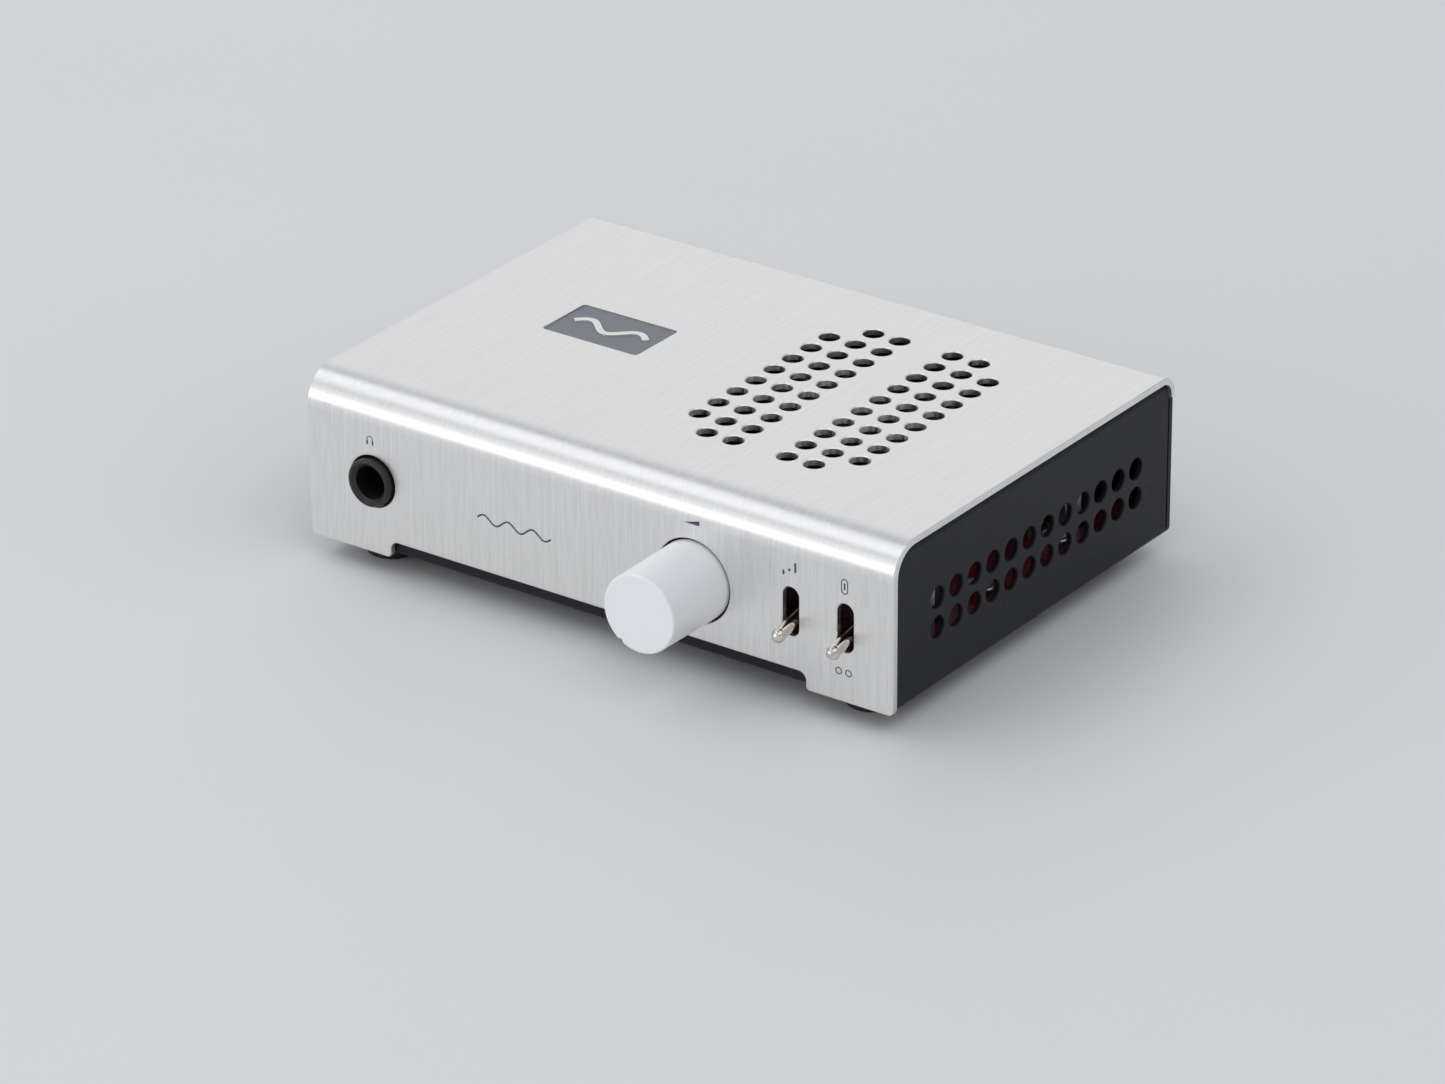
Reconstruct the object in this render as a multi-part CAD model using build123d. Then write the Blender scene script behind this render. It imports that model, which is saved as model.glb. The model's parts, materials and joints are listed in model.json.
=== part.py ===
from build123d import *
import os
from math import atan2, cos, pi, radians, sin, sqrt

# Desktop headphone amplifier: a bent aluminium cover over a folded steel chassis,
# one main board, a volume knob, two front toggles, a rear power toggle and rear sockets.
# Frame: +X to the right seen from the front, +Y to the back, +Z up, Z = 0 at the table,
# X = Y = 0 at the middle of everything that sticks out. All sizes are in millimetres.
# Cutters run 1 mm past the faces that they open.

# ---- overall sizes
case_width = 127.0
case_depth = 88.9
case_height = 31.75
foot_height = 4.05
knob_reach = 15.8            # knob face ahead of the front panel
phono_reach = 9.5            # phono barrels behind the rear panel

# ---- top cover (aluminium)
cover_sheet = 1.2
front_bend = 6.35
rear_bend = 4.0
rear_lip = 4.5
panel_corner = 1.2
cover_edge = 0.15
recess_half_width = 45.3
recess_height = 3.25
recess_inner_radius = 1.6
recess_outer_radius = 0.8

# ---- chassis (steel)
steel_sheet = 1.0
steel_bend = 1.2
side_inset = 0.5             # steel side behind the cover's edge
cover_gap = 0.5              # steel under the cover's sheet
panel_gap = 0.35             # steel behind the front panel
top_flange = 5.5
front_flange = 5.4
slit = 0.4

# ---- vents
vent_pitch = 5.715
vent_radius = 1.93
side_vent_radius = 2.05
vent_bevel = 0.18
top_vent_columns = [-3, -2, -1, 1, 2, 3]
top_vent_front = 18.4
top_vent_rear = 14.9
side_vent_front = 14.2
side_vent_rear = 11.0
side_vent_low = 11.35        # lower row above the chassis floor's underside

# ---- badge recess in the top
badge_length = 21.2
badge_width = 13.0
badge_left = 22.85           # from the cover's left edge
badge_front = 39.5
badge_depth = 0.3
badge_line = 1.3
badge_corner = 0.8
wave_height = 3.4

# ---- feet, pillars, board
foot_radius = 4.75
foot_inset_x = 11.0
foot_inset_y = 9.5
foot_edge = 0.8
standoff_height = 5.05
board_thickness = 1.6
board_margin = 1.2
board_front_gap = 0.8
board_rear_gap = 0.6
board_corner = 1.5
pillar_radius = 2.75
pillar_clearance = 0.5       # round the post, in the board and beside the flange
screw_radius = 1.5
screw_fit = 0.05
screw_clearance = 0.2
screw_engagement = 6.0
head_radius = 2.8
head_height = 1.9
head_edge = 0.6
screw_margin = 0.8           # screw head inside the board's edge
drive_radius = 1.0
standoff_radius = 2.4
standoff_setback = 8.0       # middle support behind the panel's face

# ---- panel layout, measured from the sides of the case
jack_from_left = 14.5
input_from_right = 10.0
gain_from_right = 21.4
knob_from_right = 42.2
axis_height = 6.5            # panel controls above the board

# ---- headphone jack
plug_bore = 3.2
jack_nose = 4.6
jack_nose_reach = 1.45
jack_mouth = 3.9
jack_panel_clearance = 0.37
jack_width = 15.8
jack_depth = 30.0
jack_bore_length = 30.6
jack_step = 0.6              # body behind the panel's inner face
jack_edge = 0.8
nose_edge = 0.5
leaf_width = 1.9
leaf_thickness = 0.3
leaf_half_height = 0.9
leaf_gap = 0.2

# ---- volume control
pot_width = 10.6
pot_depth = 9.4
pot_setback = 6.4
bushing_wall = 0.5
bushing_reach = 1.4
shaft_radius = 3.0
shaft_running = 0.04
shaft_clearance = 0.4        # round the shaft, in the case's front
shaft_flat = 1.5
spigot_radius = 1.8          # shaft's inner end, in the wiper
spigot_flat = 1.2
wiper_thickness = 1.2
track_radius = 4.0
track_thickness = 0.5
track_gap = 0.3
track_hole = 0.8
pot_wall = 1.0
pot_edge = 0.5
thread_pitch = 0.75
thread_width = 0.35
thread_depth = 0.25
thread_turns = 6
knob_radius = 7.6
knob_front_radius = 7.45
knob_wall = 1.5
knob_face = 1.8
knob_edge = 0.4
knob_panel_clearance = 0.4
knob_tail = 0.7              # knob runs this far into the panel's hole
boss_wall = 1.6
boss_gap = 0.7
groove_radius = 0.6
groove_length = 3.5
groove_angle = -148.0        # clockwise from the top, seen from the front

# ---- toggle switches
slot_width = 3.45
slot_length = 9.3
lever_tilt = 12.0
pivot_setback = 11.2
lever_reach = 3.5            # centre of the lever's round tip outside the panel
lever_radius = 1.2
lever_tip_radius = 1.28
lever_ball = 1.9
ball_clearance = 0.3
toggle_bushing = 3.1
toggle_bushing_front = 3.6
toggle_width = 8.4
toggle_depth = 10.0
toggle_setback = 3.2         # switch body behind the pivot
toggle_frame = 0.5
pivot_pin = 0.5
pin_running = 0.03
tail_radius = 0.8
tail_length = 5.2
tail_swing = 1.6             # room round the tail for its swing

# ---- rear sockets
phono_radius = 4.15
phono_wall = 0.4
phono_pitch = 14.0
phono_root = 3.75            # barrel's root inside the rear panel
phono_shoulder = 0.3         # full barrel starts this far behind the panel
phono_axis = 7.2
phono_plug_wall = 1.2        # ring of the plug that goes over a barrel
plug_clearance = 0.15        # plug's ring to the screw's head
socket_head = 2.4
socket_screw_length = 7.0
phono_width = 27.0
phono_depth = 11.0
phono_pin_bore = 1.62
phono_pin_wall = 0.35
nest_gap = 0.05
socket_edge = 0.5
panel_hole_clearance = 0.35
inlet_width = 9.0
inlet_depth = 13.0
inlet_nose = 3.9
inlet_bore = 2.8
inlet_bore_depth = 10.0
inlet_pin = 1.0
inlet_axis = 6.4
usb_width = 8.94
usb_height = 3.26
usb_wall = 0.3
usb_depth = 7.4
usb_tongue = 0.7
usb_lift = 0.12

# ---- parts on the board
headroom_gap = 3.0
moulded_edge = 0.4
capacitor_radius = 5.0
capacitor_crimp = 0.5
can_edge = 0.7
capacitor_pitch = 10.8
film_size = (7.2, 3.4, 8.6)
relay_size = (14.0, 7.4, 9.8)
package_width = 9.4
package_depth = 4.5
package_height = 9.2
package_lift = 3.5
tab_thickness = 1.3
lead_pitch = 2.54
lead_width = 0.7
sink_width = 19.0
sink_depth = 8.0
sink_fin = 0.9
sink_web = 2.0
sink_fins = 8
chip_size = (4.9, 3.9, 1.5)
chip_gap = 2.0
chip_edge = 0.1
converter_size = (7.0, 7.0, 1.0)
diode_radius = 1.35
diode_length = 5.2
diode_pitch = 3.6
part_gap = 1.2

# ---- planes worked out from the sizes above
half_width = case_width / 2
front_y = knob_reach - (knob_reach + case_depth + phono_reach) / 2
rear_y = front_y + case_depth
case_low = foot_height
case_top = case_low + case_height
panel_inner = front_y + cover_sheet
steel_front = panel_inner + panel_gap
side_outer = half_width - side_inset
side_inner = side_outer - steel_sheet
steel_top = case_top - cover_sheet - cover_gap
floor_top = case_low + steel_sheet
rear_inner = rear_y - steel_sheet
lip_low = case_top - rear_lip
rear_panel_top = lip_low - slit
board_low = floor_top + standoff_height
board_top = board_low + board_thickness
board_front = panel_inner + board_front_gap
board_rear = rear_inner - board_rear_gap
board_side = side_inner - board_margin
control_z = board_top + axis_height
jack_x = jack_from_left - half_width
gain_x = half_width - gain_from_right
input_x = half_width - input_from_right
knob_x = half_width - knob_from_right
headroom = case_top - cover_sheet - board_top
ceiling = case_top - cover_sheet
part_height = headroom - headroom_gap
pillar_corner = pillar_radius / cos(radians(30))
jack_back = panel_inner + jack_step + jack_depth
switch_back = rear_y - pivot_setback - toggle_setback - toggle_depth
sink_back = switch_back - part_gap
sink_front = sink_back - sink_depth
phono_front = rear_inner - phono_depth
phono_z = board_top + phono_axis
bushing_radius = shaft_radius + bushing_wall
knob_boss = shaft_radius + boss_wall
socket_screw_reach = phono_radius + phono_plug_wall + socket_head + plug_clearance
socket_screw_z = phono_z - sqrt(socket_screw_reach ** 2 - (phono_pitch / 2) ** 2)


def block(x, y, z):
    """Box between its low and high values on each axis."""
    size = [high - low for low, high in (x, y, z)]
    middle = [(low + high) / 2 for low, high in (x, y, z)]
    return Pos(*middle) * Box(*size)


def centred(x, y, z, size):
    """Box centred on x and y that stands on z."""
    return Pos(x, y, z) * Box(*size, align=(Align.CENTER, Align.CENTER, Align.MIN))


def rod_x(radius, x, y, z):
    """Cylinder along X from x[0] to x[1]."""
    return Pos((x[0] + x[1]) / 2, y, z) * Rot(0, 90, 0) * Cylinder(radius, x[1] - x[0])


def rod_y(radius, x, y, z):
    """Cylinder along Y from y[0] to y[1]."""
    return Pos(x, (y[0] + y[1]) / 2, z) * Rot(90, 0, 0) * Cylinder(radius, y[1] - y[0])


def rod_z(radius, x, y, z):
    """Cylinder along Z from z[0] to z[1]."""
    return Pos(x, y, (z[0] + z[1]) / 2) * Cylinder(radius, z[1] - z[0])


def cone_y(radii, x, y, z):
    """Cone along Y with radii[0] at y[0] and radii[1] at y[1]."""
    return Pos(x, (y[0] + y[1]) / 2, z) * Rot(-90, 0, 0) * Cone(radii[0], radii[1], y[1] - y[0])


def slot_y(width, length, x, y, z):
    """Upright round-ended block along Y."""
    shape = Plane.XZ * Rot(0, 0, 90) * SlotOverall(length, width)
    return Pos(x, y[1], z) * extrude(shape, y[1] - y[0])


def hex_z(radius, x, y, z):
    """Hexagonal bar along Z; radius is half its width across flats."""
    shape = RegularPolygon(radius, 6, major_radius=False)
    return Pos(x, y, z[0]) * extrude(shape, z[1] - z[0])


def group(solids):
    """Several separate solids kept as one node."""
    return Compound([solid for part in solids for solid in part.solids()])


def edges_at(part, axis, value, kind=None, reach=0.01):
    """Edges that lie in the plane where axis equals value."""
    picked = []
    for edge in part.edges():
        box = edge.bounding_box()
        low = getattr(box.min, axis)
        high = getattr(box.max, axis)
        if abs(low - value) < reach and abs(high - value) < reach:
            picked.append(edge)
    found = ShapeList(picked)
    return found.filter_by(kind) if kind else found


def bent_sheet(points, radii, thickness, width):
    """Sheet along X whose outer face follows points in the YZ plane, with bends of the outer radii."""
    (y0, z0), (_, z1), (y1, _), (_, z2) = points
    inside = [(y0 + thickness, z0), (y0 + thickness, z1 - thickness),
              (y1 - thickness, z1 - thickness), (y1 - thickness, z2)]
    outer = FilletPolyline(*points, radius=radii)
    inner = FilletPolyline(*inside, radius=[radius - thickness for radius in radii])
    ends = [Line(outer @ 0, inner @ 0), Line(outer @ 1, inner @ 1)]
    profile = Plane.YZ * make_face([outer, inner] + ends)
    return extrude(profile, width / 2, both=True)


def top_vent_places():
    """Centres of the holes in the cover: long middle columns and shorter outer ones."""
    room = case_depth - top_vent_front - top_vent_rear - 2 * vent_radius
    rows = 1 + int(room / vent_pitch)
    middle_y = front_y + (top_vent_front + case_depth - top_vent_rear) / 2
    outermost = max(top_vent_columns)
    places = []
    for column in top_vent_columns:
        trim = 1 if abs(column) == outermost else 0
        for row in range(trim, rows - trim):
            offset = row - (rows - 1) / 2
            places.append((knob_x + column * vent_pitch, middle_y + offset * vent_pitch))
    return places


def side_vent_places():
    """Centres (y, z) of the two rows of holes in each chassis side."""
    count = 1 + int((case_depth - side_vent_front - side_vent_rear) / vent_pitch)
    rows = [case_low + side_vent_low, case_low + side_vent_low + vent_pitch]
    first = front_y + side_vent_front
    return [(first + column * vent_pitch, z) for z in rows for column in range(count)]


def wave_band(length, height, line):
    """Raised sine trace of one and a half periods, drawn about the origin."""
    steps = 24
    upper = []
    lower = []
    for step in range(steps + 1):
        along = step / steps
        phase = 3 * pi * along
        slope = atan2(height / 2 * cos(phase) * 3 * pi, length)
        x = (along - 0.5) * length
        y = height / 2 * sin(phase)
        shift = (-sin(slope) * line / 2, cos(slope) * line / 2)
        upper.append((x + shift[0], y + shift[1]))
        lower.append((x - shift[0], y - shift[1]))
    top = Spline(*upper)
    bottom = Spline(*lower)
    return make_face([top, bottom, Line(top @ 0, bottom @ 0), Line(top @ 1, bottom @ 1)])


def badge_recess():
    """Shallow rectangle in the top with a raised sine trace left standing in it."""
    plate = RectangleRounded(badge_length, badge_width, badge_corner)
    wave = wave_band(badge_length - 4 * badge_line, wave_height, badge_line)
    middle_x = badge_left + badge_length / 2 - half_width
    middle_y = front_y + badge_front + badge_width / 2
    return Pos(middle_x, middle_y, case_top - badge_depth) * extrude(plate - wave, 2 * badge_depth)


def front_recess():
    """Low wide cut-out along the bottom of the front panel."""
    width = 2 * recess_half_width
    height = recess_height + recess_inner_radius
    shape = Pos(0, (recess_height - recess_inner_radius) / 2) * RectangleRounded(
        width, height, recess_inner_radius)
    return Pos(0, panel_inner + 1, case_low) * extrude(Plane.XZ * shape, cover_sheet + 2)


def top_cover():
    """Front panel, top and rear lip bent from one sheet."""
    outline = [(front_y, case_low), (front_y, case_top), (rear_y, case_top), (rear_y, lip_low)]
    sheet = bent_sheet(outline, [front_bend, rear_bend], cover_sheet, case_width)
    corners = [edge for edge in edges_at(sheet, "Z", case_low)
               if abs(edge.center().X) > half_width - 0.01]
    sheet = fillet(corners, panel_corner)
    sheet = sheet - front_recess()
    shoulders = [edge for edge in sheet.edges().filter_by(Axis.Y)
                 if abs(edge.center().Z - case_low) < 0.01
                 and abs(abs(edge.center().X) - recess_half_width) < 0.01]
    sheet = fillet(shoulders, recess_outer_radius)
    through = (front_y - 1, panel_inner + 1)
    sheet = sheet - rod_y(jack_nose + jack_panel_clearance, jack_x, through, control_z)
    sheet = sheet - rod_y(knob_radius + knob_panel_clearance, knob_x, through, control_z)
    for x in (gain_x, input_x):
        sheet = sheet - slot_y(slot_width, slot_length, x, through, control_z)
    vents = [Pos(x, y, ceiling - 1) * Cylinder(vent_radius, cover_sheet + 2,
             align=(Align.CENTER, Align.CENTER, Align.MIN)) for x, y in top_vent_places()]
    sheet = sheet - vents
    sheet = chamfer(edges_at(sheet, "Z", case_top, GeomType.CIRCLE), vent_bevel)
    rims = edges_at(sheet, "Y", front_y)
    sheet = chamfer(rims.filter_by(GeomType.CIRCLE), cover_edge)
    return sheet - badge_recess()


def chassis_outline():
    """Side view of the chassis: rounded under both of the cover's bends, stepped under its lip."""
    step_y = rear_y - cover_sheet - slit
    points = [(steel_front, case_low - 1), (rear_y + 1, case_low - 1), (rear_y + 1, rear_panel_top),
              (step_y, rear_panel_top), (step_y, steel_top), (steel_front, steel_top)]
    radii = [0, 0, 0, 0, rear_bend - cover_sheet - slit, front_bend - cover_sheet - panel_gap]
    profile = make_face(FilletPolyline(*points, radius=radii, close=True))
    return extrude(Plane.YZ * profile, half_width, both=True)


def chassis():
    """Floor, sides, rear panel and narrow flanges folded from one sheet."""
    outer = block((-side_outer, side_outer), (steel_front, rear_y), (case_low, steel_top))
    low_folds = edges_at(outer, "Z", case_low)
    top_folds = [edge for edge in edges_at(outer, "Z", steel_top) if abs(edge.center().X) > 1]
    outer = fillet(low_folds + top_folds, steel_bend)
    inner = block((-side_inner, side_inner), (steel_front + steel_sheet, rear_inner),
                  (floor_top, steel_top - steel_sheet))
    inner = fillet(inner.edges(), steel_bend - steel_sheet)
    shell = (outer - inner) & chassis_outline()
    open_half = side_outer - top_flange
    flange_back = steel_front + steel_sheet + slit
    cuts = [block((-open_half, open_half), (steel_front - 1, rear_y + 1), (rear_panel_top, steel_top + 1)),
            block((-side_inner, side_inner), (steel_front - 1, flange_back),
                  (case_low + front_flange, steel_top + 1))]
    for side in (-1, 1):
        x = sorted((side * (side_inner - slit), side * side_inner))
        cuts.append(block(x, (steel_front - 1, flange_back),
                          (floor_top + slit, case_low + front_flange + 1)))
        x = sorted((side * (side_inner - slit), side * (side_outer + 1)))
        cuts.append(block(x, (rear_inner - slit, rear_inner), (floor_top + slit, rear_panel_top + 1)))
    wide = side_vent_radius + 2 * vent_bevel
    for y, z in side_vent_places():
        cuts.append(rod_x(side_vent_radius, (-side_outer - 1, side_outer + 1), y, z))
        for side in (-1, 1):
            sink = Cone(side_vent_radius, wide, 2 * vent_bevel)
            cuts.append(Pos(side * side_outer, y, z) * Rot(0, side * 90, 0) * sink)
    for x, y in pillar_places() + standoff_places():
        cuts.append(rod_z(screw_radius + screw_clearance, x, y, (case_low - 1, floor_top + 1)))
    return shell - cuts - rear_openings()


def rear_places():
    """X of each rear socket, spread so that equal gaps lie between them."""
    widths = {"usb": usb_width, "input": phono_width, "preout": phono_width,
              "power": toggle_width, "inlet": inlet_width}
    gap = (2 * board_side - sum(widths.values())) / (len(widths) + 1)
    places = {}
    left = -board_side
    for name, width in widths.items():
        places[name] = left + gap + width / 2
        left += gap + width
    return places


def phono_places(name):
    """X of the two barrels of one pair."""
    return [rear_places()[name] + side * phono_pitch / 2 for side in (-1, 1)]


def rear_openings():
    """Holes in the rear panel for the sockets and the power lever."""
    through = (rear_inner - 1, rear_y + 1)
    places = rear_places()
    cuts = [rod_y(phono_radius + panel_hole_clearance, x, through, phono_z)
            for name in ("input", "preout") for x in phono_places(name)]
    cuts += [rod_y(screw_radius + screw_clearance, places[name], through, socket_screw_z)
             for name in ("input", "preout")]
    cuts.append(rod_y(inlet_nose + panel_hole_clearance, places["inlet"], through,
                      board_top + inlet_axis))
    cuts.append(slot_y(slot_width, slot_length, places["power"], through, control_z))
    port = RectangleRounded(usb_width + 2 * panel_hole_clearance, usb_height + 2 * panel_hole_clearance,
                            usb_height / 2 + panel_hole_clearance - 0.01)
    cuts.append(Pos(places["usb"], through[1], usb_z()) * extrude(Plane.XZ * port, 3 + steel_sheet))
    return cuts


def usb_z():
    """Height of the middle of the USB port."""
    return board_top + usb_lift + usb_height / 2


def pillar_places():
    """Centres of the four posts that hold the cover to the floor, the front ones ahead of the vents."""
    front_x = (gain_x + knob_x) / 2
    front = front_y + top_vent_front - pillar_corner - pillar_clearance
    rear_x = side_outer - top_flange - pillar_corner - pillar_clearance
    rear = rear_inner - inlet_depth - 2 * pillar_corner
    return [(side * front_x, front) for side in (-1, 1)] + [(side * rear_x, rear) for side in (-1, 1)]


def standoff_places():
    """Centres of the board's five supports."""
    far_x = board_side - head_radius - screw_margin
    rear = pillar_places()[-1][1] - pillar_corner - 2 * head_radius
    front = jack_back + head_radius + part_gap
    return [(-far_x, front), (far_x, front), (-far_x, rear), (far_x, rear),
            (jack_x + 2 * jack_width, front_y + standoff_setback)]


def rubber_feet():
    """Four stick-on feet under the floor."""
    feet = []
    for side in (-1, 1):
        for y in (front_y + foot_inset_y, rear_y - foot_inset_y):
            foot = rod_z(foot_radius, side * (half_width - foot_inset_x), y, (0, foot_height))
            feet.append(fillet(edges_at(foot, "Z", 0), foot_edge))
    return group(feet)


def cover_pillars():
    """Hexagonal posts pressed into the cover, tapped from below."""
    posts = []
    for x, y in pillar_places():
        post = hex_z(pillar_radius, x, y, (floor_top, ceiling))
        tapped = (floor_top - 1, floor_top + screw_engagement + 1)
        posts.append(post - rod_z(screw_radius + screw_fit, x, y, tapped))
    return group(posts)


def pan_screw(x, y, seat, length, up, head_size=head_radius):
    """Screw with a round head; up is 1 when its tip points up."""
    tip = seat + up * length
    shank = rod_z(screw_radius, x, y, sorted((seat, tip)))
    crown = seat - up * head_height
    head = rod_z(head_size, x, y, sorted((seat, crown)))
    head = fillet(edges_at(head, "Z", crown), head_edge)
    drive = hex_z(drive_radius, x, y, sorted((crown - up, crown + up * head_height * 0.6)))
    return head + shank - drive


def cover_screws():
    """Screws through the floor into the posts."""
    length = steel_sheet + screw_engagement
    return group([pan_screw(x, y, case_low, length, 1) for x, y in pillar_places()])


def board_standoffs():
    """Threaded posts pressed into the floor under the board."""
    posts = []
    for x, y in standoff_places():
        post = hex_z(standoff_radius, x, y, (floor_top, board_low))
        posts.append(post - rod_z(screw_radius + screw_fit, x, y, (floor_top - 1, board_low + 1)))
    return group(posts)


def board_screws():
    """Screws through the board into its supports."""
    length = board_thickness + standoff_height - 1.0
    return group([pan_screw(x, y, board_top, length, -1) for x, y in standoff_places()])


def main_board():
    """Printed circuit board with clearance for posts and screws."""
    board = block((-board_side, board_side), (board_front, board_rear), (board_low, board_top))
    board = fillet(board.edges().filter_by(Axis.Z), board_corner)
    span = (board_low - 1, board_top + 1)
    holes = [rod_z(pillar_corner + pillar_clearance, x, y, span) for x, y in pillar_places()]
    holes += [rod_z(screw_radius + screw_clearance, x, y, span) for x, y in standoff_places()]
    return board - holes


def jack_leaf_places():
    """Y of the three contact leaves, from the tip's to the sleeve's."""
    mouth = front_y - jack_nose_reach
    return [mouth + jack_bore_length * share for share in (0.84, 0.55, 0.24)]


def headphone_jack_housing():
    """Moulded 6.35 mm stereo jack with its nose through the front panel."""
    body_front = panel_inner + jack_step
    mouth = front_y - jack_nose_reach
    body = block((jack_x - jack_width / 2, jack_x + jack_width / 2),
                 (body_front, body_front + jack_depth), (board_top, board_top + 2 * axis_height))
    body = fillet(body.edges().filter_by(Axis.Y), jack_edge)
    nose = rod_y(jack_nose, jack_x, (mouth, body_front), control_z)
    nose = fillet(edges_at(nose, "Y", mouth), nose_edge)
    flare = jack_mouth - plug_bore
    jack = body + nose - rod_y(plug_bore, jack_x, (mouth - 1, mouth + jack_bore_length), control_z)
    jack = jack - cone_y((jack_mouth, plug_bore), jack_x, (mouth, mouth + flare), control_z)
    tall = leaf_half_height + leaf_gap
    window = (control_z - tall, control_z + tall)
    for y in jack_leaf_places():
        jack = jack - block((jack_x + plug_bore - 1, jack_x + jack_width / 2 + 1),
                            (y - leaf_width, y + leaf_width), window)
    return jack


def headphone_jack_contacts():
    """Three sprung leaves in the side windows of the jack."""
    leaves = []
    for y in jack_leaf_places():
        tall = (control_z - leaf_half_height, control_z + leaf_half_height)
        near = jack_x + plug_bore + leaf_gap
        far = jack_x + jack_width / 2 - leaf_thickness
        finger = block((near, far + leaf_thickness), (y - leaf_thickness, y), tall)
        hook = block((near, near + leaf_thickness), (y - leaf_width / 2, y + leaf_width / 2), tall)
        back = block((far, far + leaf_thickness), (y - leaf_width * 0.9, y + leaf_width * 0.9), tall)
        leaves.append(finger + hook + back)
    return group(leaves)


def pot_span():
    """Y of the front and back of the volume control's case."""
    front = front_y + pot_setback
    return front, front + pot_depth


def volume_pot_case():
    """Square case of the volume control, hollow for its track and wiper."""
    front, back = pot_span()
    case = block((knob_x - pot_width / 2, knob_x + pot_width / 2), (front, back),
                 (board_top, board_top + 2 * axis_height - 1))
    case = fillet(case.edges().filter_by(Axis.Y), pot_edge)
    chamber = rod_y(track_radius + track_gap, knob_x, (front + pot_wall, back - pot_wall), control_z)
    entry = rod_y(shaft_radius + shaft_clearance, knob_x, (front - 1, front + pot_wall + 1), control_z)
    return case - chamber - entry


def volume_pot_bushing():
    """Threaded bushing that the shaft turns in."""
    front, _ = pot_span()
    tip = front_y - bushing_reach
    sleeve = rod_y(bushing_radius, knob_x, (tip, front), control_z)
    sleeve = chamfer(edges_at(sleeve, "Y", tip), 0.4)
    grooves = [turned_ring(bushing_radius - thread_depth, bushing_radius + 1, (y, y + thread_width))
               for y in (tip + thread_pitch * (turn + 1.3) for turn in range(thread_turns))]
    return sleeve - rod_y(shaft_radius + shaft_running, knob_x, (tip - 1, front + 1), control_z) - grooves


def turned_ring(inner, outer, y):
    """Ring about the knob's axis."""
    return rod_y(outer, knob_x, y, control_z) - rod_y(inner, knob_x, (y[0] - 1, y[1] + 1), control_z)


def volume_pot_track():
    """Resistive wafer at the back of the volume control."""
    _, back = pot_span()
    high = back - pot_wall
    wafer = rod_y(track_radius, knob_x, (high - track_thickness, high), control_z)
    return wafer - rod_y(track_hole, knob_x, (high - track_thickness - 1, high + 1), control_z)


def wiper_span():
    """Y of the front and back of the wiper's disc."""
    front, _ = pot_span()
    near = front + pot_wall + 0.5
    return near, near + wiper_thickness


def volume_pot_wiper():
    """Disc on the shaft's end with two sprung fingers."""
    near, far = wiper_span()
    _, back = pot_span()
    disc = rod_y(track_radius - 0.5, knob_x, (near, far), control_z)
    reach = back - pot_wall - track_thickness - 0.2
    offset = (spigot_radius + track_radius - 0.5) / 2
    fingers = [block((knob_x + side * offset - 0.35, knob_x + side * offset + 0.35), (far, reach),
                     (control_z - 0.5, control_z + 0.5)) for side in (-1, 1)]
    return disc + fingers - flatted(spigot_radius, spigot_flat, near - 1, far + 1)


def flatted(radius, flat, low, high):
    """Round bar on the knob's axis with a flat on its upper side."""
    bar = rod_y(radius, knob_x, (low, high), control_z)
    return bar - block((knob_x - 2 * radius, knob_x + 2 * radius), (low - 1, high + 1),
                       (control_z + flat, control_z + 2 * radius))


def volume_pot_shaft():
    """Round shaft, flatted where it enters the knob and the wiper."""
    near, far = wiper_span()
    tip = front_y - knob_reach + knob_face + 0.4
    collar = front_y - bushing_reach
    shaft = rod_y(shaft_radius, knob_x, (collar, near), control_z)
    shaft = shaft + flatted(shaft_radius, shaft_flat, tip, collar)
    shaft = shaft + flatted(spigot_radius, spigot_flat, near, far)
    return chamfer(edges_at(shaft, "Y", tip, GeomType.CIRCLE), 0.3)


def volume_knob():
    """Hollow turned knob with a pointer groove, pushed onto the flatted shaft."""
    face = front_y - knob_reach
    tail = front_y + knob_tail
    knob = cone_y((knob_front_radius, knob_radius), knob_x, (face, tail), control_z)
    knob = fillet(edges_at(knob, "Y", face), knob_edge)
    knob = chamfer(edges_at(knob, "Y", tail), cover_edge)
    boss_end = front_y - bushing_reach - boss_gap
    hollow = turned_ring(knob_boss, knob_front_radius - knob_wall, (face + knob_face, boss_end))
    mouth = rod_y(knob_front_radius - knob_wall, knob_x, (boss_end, tail + 1), control_z)
    knob = knob - hollow - mouth
    knob = knob - flatted(shaft_radius, shaft_flat, face + knob_face, boss_end + 1)
    angle = radians(groove_angle)
    groove_x = knob_x + knob_front_radius * sin(angle)
    groove_z = control_z + knob_front_radius * cos(angle)
    return knob - rod_y(groove_radius, groove_x, (face - 1, face + groove_length), groove_z)


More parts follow.
